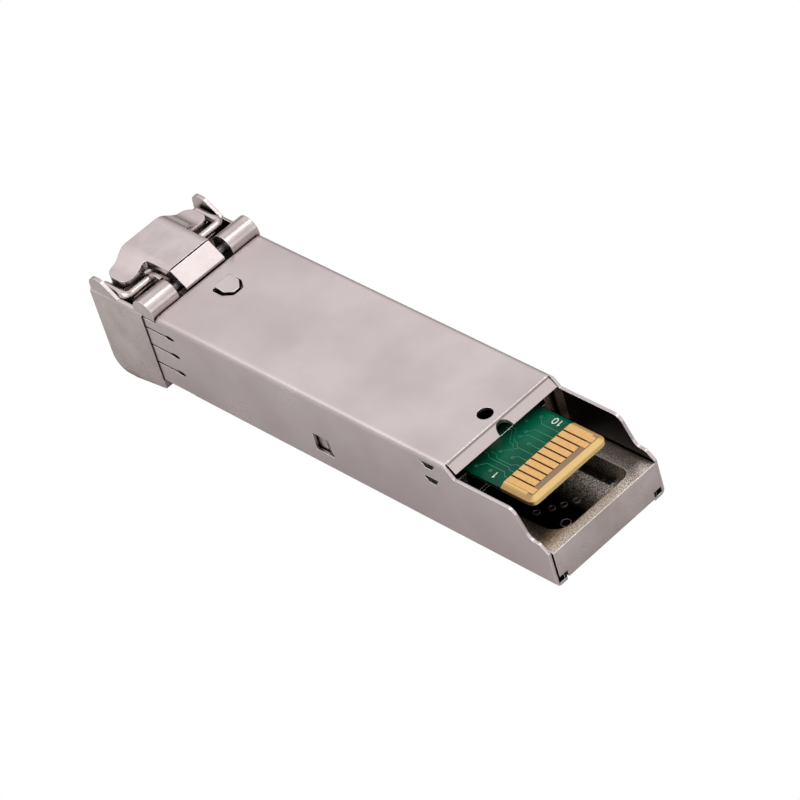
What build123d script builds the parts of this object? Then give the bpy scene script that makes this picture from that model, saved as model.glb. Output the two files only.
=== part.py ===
"""Pluggable optical transceiver module with a bail latch, in millimetres.

The module lies on its label side, with the latch side up and the card edge towards +X.
Stations run along its length: at(d) is the place d mm ahead of the rear end.
Heights are taken from the underside of the body: up(h) is the place h mm above it.
"""

from build123d import *
import math
import os

os.makedirs("parts", exist_ok=True)

# Overall body
overall_length = 57.1
body_width = 13.4
body_height = 8.5
nose_overhang = 0.15
nose_drop = 1.2

# Sheet cover, with its front edges as distances behind the front end
sheet = 0.3
sheet_bend = 0.5
hem_reach = 1.25
hem_rise = 0.95
cover_rear_gap = 0.15
cover_top_setback = 8.9
cover_nose_gap = 0.1
finger_length = 4.1
finger_foot = 0.4
finger_shoulder_drop = 0.55
finger_tuck = 0.4
slit_count = 3
slit_low = 2.6
slit_pitch = 2.1
slit_width = 0.2
slit_length = 3.8
slit_eye_length = 1.3
slit_eye_height = 0.48

# Opening at the rear of the cover
lip_bend = 11.3
lip_run = 1.0
lip_drop = 0.8
lip_side_gap = 0.15
lip_notch_radius = 0.85
side_top_drop = 1.1
side_ledge = 4.6
side_ledge_length = 0.9
side_rear_height = 3.8
side_step_front = 3.4
side_step_rear = 2.1
side_step_round = 1.0
side_ledge_round = 0.6
vent_hole_station = 12.7
vent_hole_diameter = 1.5

# Snap windows in the cover's sides
window_rear = 26.8
window_length = 2.3
window_low = 1.9
window_height = 1.95
snap_proud = 0.28
snap_root = 0.1
snap_play = 0.15
snap_rear_margin = 0.25
snap_length = 1.2

# Lanced bridges near the rear corners
lance_rear = 12.5
lance_length = 1.7
lance_slant = 0.45
lance_upper_low = 7.2
lance_lower_low = 5.5
lance_height = 0.65

# Die-cast tray
tray_gap = 0.1
tray_low = 0.35
hem_clearance = 0.1
rear_ledge_height = 3.7
rear_wall = 1.1
rear_rail = 1.9
rear_floor = 2.0
rear_slot_width = 0.95
rear_slot_floor = 1.2
rear_round_left = 2.0
rear_round_right = 0.9
rail_step = 11.6
cavity_front = 12.2
board_floor = 2.4
ledge_width = 0.75
optics_floor = 1.4

# Nose, with its stations as distances behind the front end
nose_length = 7.1
nose_top_drop = 0.05
nose_edge_round = 0.5
nose_chin_round = 1.7
nose_chin_run = 4.26
nose_rise = 0.6
port_recess = 1.4
side_plate = 0.5
ear_inset = 0.15
ear_rise = 1.4
ear_lead = 0.15
ear_crest = 1.8
ear_length = 3.8
ear_front_round = 1.0
ear_rear_round = 1.2
ear_groove = 0.22
ear_groove_depth = 0.9
ear_groove_rear = 6.4

# Two fibre ports
port_pitch = 6.25
port_size = 4.6
port_centre = 4.0
port_depth = 8.3
port_key_width = 2.6
port_key_depth = 1.35
port_key_length = 5.2

# Latch lever, pivot and boss
pivot_setback = 7.45
pivot_rise = 0.05
pin_diameter = 1.0
pin_fit = 0.03
pin_inset = 0.5
pin_chamfer = 0.1
knuckle_radius = 1.35
knuckle_inner = 3.4
knuckle_end_inset = 0.15
hub_half = 2.4
hub_radius = 1.0
hub_crest = 1.6
hub_crest_lead = 0.4
hub_gap = 0.15
hub_foot_rise = 0.3
arm_half = 1.3
arm_gap = 0.15
arm_thickness = 0.75
arm_length = 6.35
arm_clearance = 0.2
boss_proud = 0.45
boss_setback = 10.95
boss_length = 1.9
boss_straight = 1.2
boss_half = 0.98
boss_tip_half = 0.35
boss_round = 0.2
boss_gap = 0.25
boss_slope_start = 0.4
boss_tip_rise = 0.1
head_rise = 1.7
head_thickness = 1.05
head_lead = 0.35
head_half = 2.5
head_lag = 0.37
crown_half = 2.4
crown_foot = 3.9
crown_round = 2.0
lobe_rise = 0.8
lobe_thickness = 0.65
lobe_half = 5.3
lobe_setback = 3.65
lobe_round = 1.2
lobe_rear_round = 0.9
neck_round = 0.5
lever_travel = 7.5

# Bail
wire_diameter = 0.9
bail_setback = 4.3
bail_drop = 0.05
bail_lead = 0.85
bail_foot = -0.45
crank_offset = 0.55
crank_half = 1.8
crank_run = 0.75
wire_gap = 0.3
bearing_fit = 0.05
cheek_inner = 2.72
cheek_outer = 3.1
cheek_radius = 2.3
cheek_drop = 1.5
cheek_shift = 0.9
pocket_depth = 1.2
pocket_rear_reach = 1.1
pocket_front_reach = 1.15
pocket_nook = 1.25
pocket_nook_length = 0.75

# Latch spring, a bent strip
spring_half = 0.6
spring_sheet = 0.15
spring_foot_drop = 4.2
spring_setback = 9.8
spring_length = 3.0
spring_bend = 0.45
spring_play = 0.2

# Circuit board
board_tip = 3.2
board_front_setback = 22.3
board_edge_width = 9.2
board_side_gap = 0.9
board_shoulder = 12.6
board_thickness = 1.0
board_under_drop = 2.81
board_tip_round = 0.7
board_bevel = 0.3
board_bevel_run = 0.5

# Edge contacts
contact_count = 10
contact_pitch = 0.8
contact_width = 0.64
contact_thickness = 0.06
contact_front = 7.0
contact_long_end = 3.75
contact_short_end = 4.3
long_contacts_top = (0, 8, 9)
long_contacts_bottom = (0, 3, 6)

# Optical subassemblies, with their block as distances behind the front end
block_setback = 15.8
optics_setback = 21.9
nozzle_diameter = 2.9
nozzle_setback = 5.5
nozzle_lip = 0.1
nozzle_lip_length = 0.4
barrel_diameter = 3.6
barrel_fit = 0.03
flange_diameter = 4.4
flange_length = 0.8
sleeve_outer = 1.64
sleeve_length = 4.6
sleeve_setback = 10.7
sleeve_slit = 0.12
stub_reach = 1.4
stub_recess = 0.3
stub_chamfer = 0.15
ferrule_diameter = 1.25
ferrule_fit = 0.005
can_diameter = 3.9
can_length = 2.2
header_diameter = 4.5
header_length = 0.9
header_gap = 0.125
can_pin_size = 0.35
can_pin_spread = 1.9
can_pin_length = 0.55
flex_thickness = 0.15
flex_width = 2.8
flex_drop = 1.4
flex_bend = 0.25
flex_overlap = 2.2
clamp_length = 1.6
clamp_fit = 0.05
clamp_rib_half = 0.9
clamp_rib_gap = 0.4

# Board components
chip_height = 0.55
driver_size = 4.0
driver_edge_gap = 0.275
amplifier_size = 3.0
chip_setback = 28.6
controller_size = 5.0
controller_height = 0.9
pad_thickness = 0.79
controller_station = 21.0
island_margin = 0.5
part_length = 1.0
part_width = 0.5
capacitor_height = 0.5
resistor_height = 0.35
row_gap = 5.5
row_pitch = 2.0
row_stagger = 1.0
resistor_row_count = 5
capacitor_row_count = 4
resistor_offset = 2.7
capacitor_offset = 1.2
capacitor_outer_offset = 4.0
inductor_length = 2.0
inductor_width = 1.6
inductor_height = 0.85
inductor_pitch = 3.4
inductor_setback = 24.1


def at(d):
    """X of a station d ahead of the rear end."""
    return overall_length / 2 - d


def up(h):
    """Z of a height h above the underside of the body."""
    return nose_drop + h


def block(d0, d1, y0, y1, h0, h1, mode=Mode.ADD):
    """Add or cut a block between two stations, two widths and two heights."""
    with Locations(((at(d0) + at(d1)) / 2, (y0 + y1) / 2, (up(h0) + up(h1)) / 2)):
        Box(abs(d1 - d0), abs(y1 - y0), abs(h1 - h0), mode=mode)


def pair_of_blocks(d0, d1, y0, y1, h0, h1, mode=Mode.ADD):
    """The same block on the left and on the right."""
    block(d0, d1, y0, y1, h0, h1, mode)
    block(d0, d1, -y1, -y0, h0, h1, mode)


def save(builder, label):
    """Label a finished piece and write it to its own file."""
    builder.part.label = label
    export_step(builder.part, f"parts/{label}.step")


# Widths that follow from the ones above
cover_half = body_width / 2
cover_inner = cover_half - sheet
tray_half = cover_inner - tray_gap
nose_half = cover_half + nose_overhang
ear_outer = nose_half - ear_inset
ear_inner = nose_half - side_plate
knuckle_outer = nose_half - knuckle_end_inset
rear_pocket_half = tray_half - rear_rail
board_half = tray_half - board_side_gap
trough_half = board_half + tray_gap
ledge_half = board_half - ledge_width + tray_gap
port_offset = port_pitch / 2
optics_half = port_offset + header_diameter / 2 + header_gap
wire_radius = wire_diameter / 2
bail_half = ear_inner - bearing_fit - wire_radius
pin_half_length = knuckle_outer - pin_inset
pin_hole = pin_diameter + 2 * pin_fit

# Heights that follow from the body's
tray_top = body_height - sheet - tray_gap
nose_top = body_height - nose_top_drop
ear_top = nose_top + ear_rise
finger_shoulder = body_height - finger_shoulder_drop
side_top = body_height - side_top_drop
board_under = body_height - board_under_drop
board_top = board_under + board_thickness
pad_island = board_under - controller_height - pad_thickness
pivot_height = body_height + pivot_rise
hub_top = body_height + hub_crest
arm_top = body_height - sheet - arm_gap
arm_bottom = arm_top - arm_thickness
head_top = body_height + head_rise
head_under = head_top - head_thickness
lobe_top = body_height + lobe_rise
lobe_under = lobe_top - lobe_thickness
boss_top = body_height + boss_proud
bail_height = body_height - bail_drop
cheek_centre = body_height - cheek_drop
pocket_floor = body_height - pocket_depth
spring_foot = body_height - spring_foot_drop
over = 2 * body_height

# Stations that follow from the front end
nose_back = overall_length - nose_length
port_face = overall_length - port_recess
port_back = overall_length - port_depth
ear_rear = overall_length - ear_length
finger_root = nose_back - finger_length
slit_end = nose_back - slit_length
cover_top_front = overall_length - cover_top_setback
pivot_station = overall_length - pivot_setback
arm_end = pivot_station - arm_length
boss_flat = overall_length - boss_setback
boss_apex = boss_flat - boss_length
head_front = overall_length - head_lead
lobe_rear = overall_length - lobe_setback
bail_station = overall_length - bail_setback
bail_front = overall_length - bail_lead
cheek_station = bail_station - cheek_shift
pocket_rear = bail_station - pocket_rear_reach
pocket_front = bail_station + pocket_front_reach
block_rear = overall_length - block_setback
optics_rear = overall_length - optics_setback
board_front = overall_length - board_front_setback
flex_end = board_front - flex_overlap
nozzle_tip = overall_length - nozzle_setback
sleeve_back = overall_length - sleeve_setback
stub_front = sleeve_back + stub_reach
flange_rear = block_rear - flange_length
can_rear = flange_rear - can_length
header_rear = can_rear - header_length
lip_end = lip_bend - lip_run
window_front = window_rear + window_length
lever_drop = math.tan(math.radians(lever_travel))


# Die-cast tray and nose in one piece
with BuildPart() as base_casting:
    with BuildSketch(Plane.YZ.offset(at(nose_back + cover_nose_gap))):
        with Locations((0, (up(tray_low) + up(tray_top)) / 2)):
            Rectangle(2 * tray_half, tray_top - tray_low)
    extrude(amount=nose_back + cover_nose_gap)

    # The nose stands below the body at its chin and is rounded at its front
    with BuildSketch(Plane.XZ):
        with BuildLine():
            Polyline(
                (at(nose_back), up(nose_top)),
                (at(nose_back), up(-nose_rise)),
                (at(nose_back + nose_chin_run), up(-nose_drop)),
                (at(overall_length), up(-nose_drop)),
                (at(overall_length), up(nose_top)),
                close=True,
            )
        make_face()
        chin = vertices().sort_by(Axis.X)[0:2].sort_by(Axis.Y)[0]
        fillet(chin, radius=nose_chin_round)
    extrude(amount=nose_half, both=True)
    long_edges = edges().filter_by(Axis.X).group_by(Axis.Z)[-1]
    fillet(long_edges, radius=nose_edge_round)

    # Corner rebates for the cover's hems
    pair_of_blocks(-over, nose_back, cover_half - hem_reach - hem_clearance, nose_half,
                   -nose_drop, hem_rise + hem_clearance, mode=Mode.SUBTRACT)

    # Ears that stand up beside the bail's arms
    with BuildSketch(Plane.XZ):
        with BuildLine():
            Polyline(
                (at(overall_length), up(nose_top - 2 * nose_edge_round)),
                (at(overall_length - ear_lead), up(ear_top)),
                (at(overall_length - ear_crest), up(ear_top)),
                (at(ear_rear), up(nose_top)),
                (at(ear_rear), up(nose_top - 2 * nose_edge_round)),
                close=True,
            )
        make_face()
        crest_corners = vertices().group_by(Axis.Y)[-1].sort_by(Axis.X)
        fillet(crest_corners[0], radius=ear_front_round)
        fillet(vertices().sort_by_distance((at(overall_length - ear_crest), up(ear_top)))[0],
               radius=ear_rear_round)
    extrude(amount=ear_outer, both=True)
    block(ear_rear - tray_gap, overall_length + over, -ear_inner, ear_inner, nose_top, over,
          mode=Mode.SUBTRACT)

    # Recessed port face between the side plates
    block(port_face, overall_length + over, -ear_inner, ear_inner, -over, over, mode=Mode.SUBTRACT)

    # Knuckles that carry the lever's pin
    with BuildSketch(Plane.XZ):
        with Locations((at(pivot_station), up(pivot_height))):
            Circle(knuckle_radius)
    extrude(amount=knuckle_outer, both=True)
    pair_of_blocks(0, nose_back, tray_half, nose_half, 0, tray_top, mode=Mode.SUBTRACT)

    # Cheeks that hold the bail's rod beside the lever
    with BuildSketch(Plane.XZ):
        with Locations((at(cheek_station), up(cheek_centre))):
            Circle(cheek_radius)
    extrude(amount=cheek_outer, both=True)

    # Room for the lever's hub and head between the cheeks
    hub_room = knuckle_radius + hub_gap
    block(pivot_station - hub_room, pivot_station + hub_room, -knuckle_inner, knuckle_inner,
          pivot_height - knuckle_radius - tray_gap, over, mode=Mode.SUBTRACT)
    block(pivot_station, head_front, -cheek_inner, cheek_inner, pocket_floor, over, mode=Mode.SUBTRACT)

    # Pockets that show the bail's rod, and slots for its arms
    pair_of_blocks(pocket_rear, pocket_front, cheek_outer, ear_inner, pocket_floor, over,
                   mode=Mode.SUBTRACT)
    pair_of_blocks(pocket_rear - pocket_nook_length, pocket_rear + tray_gap, cheek_outer,
                   cheek_outer + pocket_nook, pocket_floor, over, mode=Mode.SUBTRACT)
    slot_margin = wire_radius + hub_gap
    pair_of_blocks(bail_station - slot_margin, overall_length + over, bail_half - wire_radius - bearing_fit,
                   ear_inner, bail_height - slot_margin, over, mode=Mode.SUBTRACT)

    # Thin grooves that run back from the arms' slots
    groove_rear = overall_length - ear_groove_rear
    pair_of_blocks(groove_rear, ear_rear + ear_groove, ear_inner - ear_groove, ear_inner,
                   nose_top - ear_groove_depth, over, mode=Mode.SUBTRACT)

    # Sloping well under the lever's rear arm
    arm_well = arm_end - 2 * arm_clearance
    with BuildSketch(Plane.XZ):
        with BuildLine():
            Polyline(
                (at(pivot_station), up(over)),
                (at(pivot_station), up(arm_bottom - arm_clearance)),
                (at(arm_well), up(arm_bottom - arm_clearance - lever_drop * (pivot_station - arm_well))),
                (at(arm_well), up(over)),
                close=True,
            )
        make_face()
    extrude(amount=arm_half + arm_clearance, both=True, mode=Mode.SUBTRACT)
    spring_front = overall_length - spring_setback
    spring_rear = spring_front - spring_length
    block(spring_rear - spring_play, spring_front + spring_play, -spring_half - spring_play,
          spring_half + spring_play, spring_foot, body_height, mode=Mode.SUBTRACT)

    # Holes for the lever's pin and for the bail's rod
    with Locations(Location((at(pivot_station), 0, up(pivot_height)), (90, 0, 0))):
        Cylinder(pin_hole / 2, 2 * (pin_half_length + pin_fit), mode=Mode.SUBTRACT)
    with Locations(Location((at(bail_station), 0, up(bail_height)), (90, 0, 0))):
        Cylinder(wire_radius + bearing_fit, 2 * ear_inner, mode=Mode.SUBTRACT)

    # Fibre ports with their key slots, and bores for the optics behind them
    for side in (-1, 1):
        y = side * port_offset
        block(port_back, overall_length, y - port_size / 2, y + port_size / 2,
              port_centre - port_size / 2, port_centre + port_size / 2, mode=Mode.SUBTRACT)
        block(port_face - port_key_length, overall_length, y - port_key_width / 2,
              y + port_key_width / 2, port_centre - port_size / 2 - port_key_depth, port_centre,
              mode=Mode.SUBTRACT)
        with Locations(Location((at(port_back), y, up(port_centre)), (0, 90, 0))):
            Cylinder(barrel_diameter / 2 + barrel_fit, 2 * (port_back - block_rear), mode=Mode.SUBTRACT)
        block(flex_end - tray_gap, block_rear, y - flex_width / 2 - tray_gap,
              y + flex_width / 2 + tray_gap, board_floor, board_under, mode=Mode.SUBTRACT)

    # Open rear end: low ledge all round a rounded pocket
    block(-over, rail_step, -nose_half, nose_half, rear_ledge_height, over, mode=Mode.SUBTRACT)
    with BuildSketch(Plane.XY.offset(up(rear_floor))):
        with Locations(((at(rear_wall) + at(cavity_front)) / 2, 0)):
            Rectangle(cavity_front - rear_wall, 2 * rear_pocket_half)
        fillet(vertices().group_by(Axis.X)[-1].sort_by(Axis.Y)[0], radius=rear_round_left)
        fillet(vertices().group_by(Axis.X)[-1].sort_by(Axis.Y)[-1], radius=rear_round_right)
    extrude(amount=over, mode=Mode.SUBTRACT)
    pair_of_blocks(rear_wall + rear_round_left, cavity_front, rear_pocket_half - rear_slot_width,
                   rear_pocket_half, rear_slot_floor, rear_ledge_height, mode=Mode.SUBTRACT)

    # Board trough with a ledge along each side
    block(rail_step - tray_gap, block_rear, -trough_half, trough_half, board_under, over, mode=Mode.SUBTRACT)
    block(cavity_front - tray_gap, block_rear, -ledge_half, ledge_half, board_floor, board_under,
          mode=Mode.SUBTRACT)
    block(optics_rear, block_rear, -optics_half, optics_half, optics_floor, over, mode=Mode.SUBTRACT)
    island_half = controller_size / 2 + island_margin
    block(controller_station - island_half, controller_station + island_half, -island_half, island_half,
          board_floor, pad_island)

    # Grooves that take the tips of the cover's fingers
    pair_of_blocks(nose_back - sheet - cover_nose_gap, nose_back + cover_nose_gap,
                   tray_half - finger_tuck, nose_half, finger_foot - tray_gap, finger_shoulder + tray_gap,
                   mode=Mode.SUBTRACT)

    # Snap wedges that stand in the cover's side windows
    for side in (-1, 1):
        with BuildSketch(Plane.XY.offset(up(window_low + snap_play))):
            with BuildLine():
                Polyline(
                    (at(window_rear + snap_rear_margin), side * (tray_half - snap_root)),
                    (at(window_rear + snap_rear_margin), side * (tray_half + snap_proud)),
                    (at(window_rear + snap_rear_margin + snap_length), side * (tray_half - snap_root)),
                    close=True,
                )
            make_face()
        extrude(amount=window_height - 2 * snap_play)
save(base_casting, "base_casting")


# Bent sheet cover
with BuildPart() as cover:
    with BuildSketch(Plane.YZ.offset(at(nose_back))):
        with Locations((0, (up(0) + up(body_height)) / 2)):
            RectangleRounded(body_width, body_height, sheet_bend)
            RectangleRounded(body_width - 2 * sheet, body_height - 2 * sheet, sheet_bend - sheet,
                             mode=Mode.SUBTRACT)
        with Locations((0, up(sheet / 2))):
            Rectangle(2 * (cover_half - hem_reach), 2 * sheet, mode=Mode.SUBTRACT)
        for side in (-1, 1):
            with Locations((side * (cover_half - hem_reach + sheet / 2), up(hem_rise / 2))):
                Rectangle(sheet, hem_rise)
    extrude(amount=nose_back - cover_rear_gap)

    # Rear opening: the top sheet stops at the lip and the side walls step down
    block(-over, lip_bend, -cover_inner, cover_inner, tray_top, over, mode=Mode.SUBTRACT)
    with BuildSketch(Plane.XZ):
        with BuildLine():
            Polyline(
                (at(lip_bend), up(over)),
                (at(lip_bend), up(body_height)),
                (at(lip_end), up(side_top)),
                (at(side_step_front), up(side_top)),
                (at(side_step_rear), up(side_ledge)),
                (at(cover_rear_gap + side_ledge_length), up(side_ledge)),
                (at(cover_rear_gap), up(side_rear_height)),
                (at(-over), up(side_rear_height)),
                (at(-over), up(over)),
                close=True,
            )
        make_face()
        step_corners = vertices().group_by(Axis.Y)
        fillet(step_corners[-3].sort_by(Axis.X)[-1], radius=side_step_round)
        fillet(vertices().sort_by_distance((at(side_step_rear), up(side_ledge)))[0],
               radius=side_step_round)
        fillet(vertices().sort_by_distance((at(cover_rear_gap + side_ledge_length), up(side_ledge)))[0],
               radius=side_ledge_round)
    extrude(amount=nose_half, both=True, mode=Mode.SUBTRACT)

    # Bent-down lip with a half-round notch
    lip_angle = math.atan2(lip_drop, lip_run)
    lip_back = sheet * math.sin(lip_angle)
    lip_down = sheet * math.cos(lip_angle)
    lip_heel = sheet * math.tan(lip_angle / 2)
    with BuildSketch(Plane.XZ):
        with BuildLine():
            Polyline(
                (at(lip_bend + sheet_bend), up(body_height)),
                (at(lip_bend), up(body_height)),
                (at(lip_end), up(body_height - lip_drop)),
                (at(lip_end + lip_back), up(body_height - lip_drop - lip_down)),
                (at(lip_bend + lip_heel), up(body_height - sheet)),
                (at(lip_bend + sheet_bend), up(body_height - sheet)),
                close=True,
            )
        make_face()
    extrude(amount=cover_inner - lip_side_gap, both=True)
    with Locations((at(lip_end), 0, up(body_height))):
        Cylinder(lip_notch_radius, 4 * sheet + lip_drop, mode=Mode.SUBTRACT)
    with Locations((at(vent_hole_station), 0, up(body_height))):
        Cylinder(vent_hole_diameter / 2, 4 * sheet, mode=Mode.SUBTRACT)

    # Front edge of the top, and the fingers of the sides
    block(cover_top_front, nose_back + over, -nose_half, nose_half, finger_shoulder, over,
          mode=Mode.SUBTRACT)
    block(finger_root, nose_back + over, -nose_half, nose_half, -over, finger_foot, mode=Mode.SUBTRACT)
    block(finger_root, nose_back + over, -cover_inner, cover_inner, -over, hem_rise + hem_clearance,
          mode=Mode.SUBTRACT)
    pair_of_blocks(nose_back - sheet, nose_back, tray_half - finger_tuck + tray_gap / 2,
                   cover_inner + sheet / 2, finger_foot, finger_shoulder)
    slit_heights = [slit_low + index * slit_pitch for index in range(slit_count)]
    for slit_height in slit_heights:
        block(slit_end + slit_eye_length / 2, nose_back + over, -nose_half, nose_half,
              slit_height - slit_width / 2, slit_height + slit_width / 2, mode=Mode.SUBTRACT)
    with BuildSketch(Plane.XZ):
        for slit_height in slit_heights:
            with Locations((at(slit_end + slit_eye_length / 2), up(slit_height))):
                Ellipse(slit_eye_length / 2, slit_eye_height / 2)
    extrude(amount=nose_half, both=True, mode=Mode.SUBTRACT)

    # Snap windows and lanced slots in the sides
    block(window_rear, window_front, -nose_half, nose_half, window_low, window_low + window_height,
          mode=Mode.SUBTRACT)
    with BuildSketch(Plane.XZ):
        for lance_low in (lance_upper_low, lance_lower_low):
            with BuildLine():
                Polyline(
                    (at(lance_rear), up(lance_low + lance_height)),
                    (at(lance_rear + lance_length), up(lance_low + lance_height)),
                    (at(lance_rear + lance_length), up(lance_low + lance_slant)),
                    (at(lance_rear + lance_length - lance_slant), up(lance_low)),
                    (at(lance_rear + lance_slant), up(lance_low)),
                    close=True,
                )
            make_face()
    extrude(amount=nose_half, both=True, mode=Mode.SUBTRACT)

    # Rounded triangular hole for the latch boss
    with BuildSketch(Plane.XY.offset(up(body_height - 2 * sheet))):
        with BuildLine():
            Polyline(
                (at(boss_flat + boss_gap), boss_half + boss_gap),
                (at(boss_flat - boss_straight), boss_half + boss_gap),
                (at(boss_apex - boss_gap), boss_tip_half + boss_gap),
                (at(boss_apex - boss_gap), -boss_tip_half - boss_gap),
                (at(boss_flat - boss_straight), -boss_half - boss_gap),
                (at(boss_flat + boss_gap), -boss_half - boss_gap),
                close=True,
            )
        make_face()
        fillet(vertices(), radius=boss_round + boss_gap / 2)
    extrude(amount=4 * sheet, mode=Mode.SUBTRACT)
save(cover, "cover")


# Head of the latch lever: a raised crown along its middle and a lobe on each side
with BuildPart() as lever_head:
    with BuildSketch(Plane.YZ.offset(at(head_front))):
        with BuildLine():
            Polyline(
                (-lobe_half, up(lobe_top)),
                (-crown_foot, up(lobe_top)),
                (-crown_half, up(head_top)),
                (crown_half, up(head_top)),
                (crown_foot, up(lobe_top)),
                (lobe_half, up(lobe_top)),
                (lobe_half, up(lobe_under)),
                (crown_foot, up(lobe_under)),
                (crown_half, up(head_under)),
                (-crown_half, up(head_under)),
                (-crown_foot, up(lobe_under)),
                (-lobe_half, up(lobe_under)),
                close=True,
            )
        make_face()
        fillet(vertices().group_by(Axis.Y)[-1], radius=crown_round)
        crown_feet = vertices().filter_by(lambda v: abs(abs(v.X) - crown_foot) < hub_gap)
        fillet(crown_feet.group_by(Axis.Y)[-1], radius=crown_round)
    extrude(amount=head_front - pivot_station - hub_crest_lead - hub_gap)
    lobe_front = head_front - head_lag
    with BuildSketch(Plane.XY.offset(up(lobe_under))):
        with BuildLine():
            Polyline(
                (at(pivot_station), head_half),
                (at(lobe_rear), head_half),
                (at(lobe_rear), lobe_half),
                (at(lobe_front), lobe_half),
                (at(lobe_front), crown_foot),
                (at(head_front), crown_half),
                (at(head_front), -crown_half),
                (at(lobe_front), -crown_foot),
                (at(lobe_front), -lobe_half),
                (at(lobe_rear), -lobe_half),
                (at(lobe_rear), -head_half),
                (at(pivot_station), -head_half),
                close=True,
            )
        make_face()
        for side in (-1, 1):
            neck = vertices().sort_by_distance((at(lobe_rear), side * head_half, up(lobe_under)))[0]
            fillet(neck, radius=neck_round)
            rear = vertices().sort_by_distance((at(lobe_rear), side * lobe_half, up(lobe_under)))[0]
            fillet(rear, radius=lobe_rear_round)
            front = vertices().sort_by_distance((at(lobe_front), side * lobe_half, up(lobe_under)))[0]
            fillet(front, radius=lobe_round)
    extrude(amount=over, mode=Mode.INTERSECT)


# Latch lever: head, hub, rear arm and boss in one casting
with BuildPart() as latch_lever:
    with BuildSketch(Plane.XZ):
        with Locations((at(pivot_station), up(pivot_height))):
            Circle(hub_radius)
        with BuildLine():
            Polyline(
                (at(pivot_station + hub_crest_lead), up(hub_top)),
                (at(cover_top_front + hub_gap), up(pivot_height + hub_foot_rise)),
                (at(cover_top_front + hub_gap), up(pivot_height - hub_foot_rise)),
                (at(pivot_station), up(pivot_height - hub_foot_rise)),
                (at(pivot_station + hub_radius), up(pivot_height)),
                (at(pivot_station + hub_radius), up(head_under)),
                (at(pivot_station + hub_radius), up(hub_top - hub_gap)),
                (at(pivot_station + hub_crest_lead + hub_gap), up(hub_top - hub_gap)),
                close=True,
            )
        make_face()
    extrude(amount=hub_half, both=True)

    # Rear arm under the cover
    block(arm_end, pivot_station, -arm_half, arm_half, arm_bottom, arm_top)
    add(lever_head.part)

    # Wedge-shaped latch boss
    with BuildSketch(Plane.XY.offset(up(arm_bottom))):
        with BuildLine():
            Polyline(
                (at(boss_flat), boss_half),
                (at(boss_flat - boss_straight), boss_half),
                (at(boss_apex), boss_tip_half),
                (at(boss_apex), -boss_tip_half),
                (at(boss_flat - boss_straight), -boss_half),
                (at(boss_flat), -boss_half),
                close=True,
            )
        make_face()
        fillet(vertices(), radius=boss_round)
    extrude(amount=boss_top - arm_bottom)
    with BuildSketch(Plane.XZ):
        with BuildLine():
            Polyline(
                (at(boss_flat - boss_slope_start), up(boss_top)),
                (at(boss_apex), up(body_height + boss_tip_rise)),
                (at(boss_apex - over), up(body_height + boss_tip_rise)),
                (at(boss_apex - over), up(over)),
                (at(boss_flat - boss_slope_start), up(over)),
                close=True,
            )
        make_face()
    extrude(amount=over, both=True, mode=Mode.SUBTRACT)

    # Bore for the pin
    with Locations(Location((at(pivot_station), 0, up(pivot_height)), (90, 0, 0))):
        Cylinder(pin_hole / 2, over, mode=Mode.SUBTRACT)
save(latch_lever, "latch_lever")


# Pin on which the lever turns
with BuildPart() as lever_pin:
    with Locations(Location((at(pivot_station), 0, up(pivot_height)), (90, 0, 0))):
        Cylinder(pin_diameter / 2, 2 * pin_half_length)
    chamfer(lever_pin.edges().filter_by(GeomType.CIRCLE), length=pin_chamfer)
save(lever_pin, "lever_pin")


# Wire bail: cranked rod, two arms, two legs and a cross bar, butted at its middle
with BuildPart() as bail:
    with BuildLine() as rod_route:
        Polyline(
            (at(bail_station), bail_half, up(bail_height)),
            (at(bail_station), crank_half + crank_run, up(bail_height)),
            (at(bail_station + crank_offset), crank_half, up(bail_height)),
            (at(bail_station + crank_offset), -crank_half, up(bail_height)),
            (at(bail_station), -crank_half - crank_run, up(bail_height)),
            (at(bail_station), -bail_half, up(bail_height)),
        )
    with BuildSketch(Plane(origin=rod_route.line @ 0, z_dir=rod_route.line % 0)):
        Circle(wire_radius)
    sweep(transition=Transition.RIGHT)
    for side in (-1, 1):
        with BuildLine() as side_route:
            Polyline(
                (at(bail_station), side * bail_half, up(bail_height)),
                (at(bail_front), side * bail_half, up(bail_height)),
                (at(bail_front), side * bail_half, up(bail_foot)),
                (at(bail_front), side * wire_gap / 2, up(bail_foot)),
            )
        for run in side_route.edges():
            with BuildSketch(Plane(origin=run @ 0, z_dir=run % 0)):
                Circle(wire_radius)
            extrude(amount=run.length)
            with Locations(run @ 0):
                Sphere(wire_radius)
save(bail, "bail")


# Bent strip spring that lifts the lever's rear arm
with BuildPart() as latch_spring:
    with BuildLine() as spring_route:
        FilletPolyline(
            (at(spring_front), 0, up(spring_foot + spring_sheet / 2)),
            (at(spring_rear + spring_sheet / 2), 0, up(spring_foot + spring_sheet / 2)),
            (at(spring_rear + spring_sheet / 2), 0, up(arm_bottom - spring_sheet / 2)),
            (at(spring_front - spring_bend), 0, up(arm_bottom - spring_sheet / 2)),
            radius=spring_bend,
        )
    with BuildSketch(Plane(origin=spring_route.line @ 0, x_dir=(0, 1, 0), z_dir=spring_route.line % 0)):
        Rectangle(2 * spring_half, spring_sheet)
    sweep()
save(latch_spring, "latch_spring")


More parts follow.
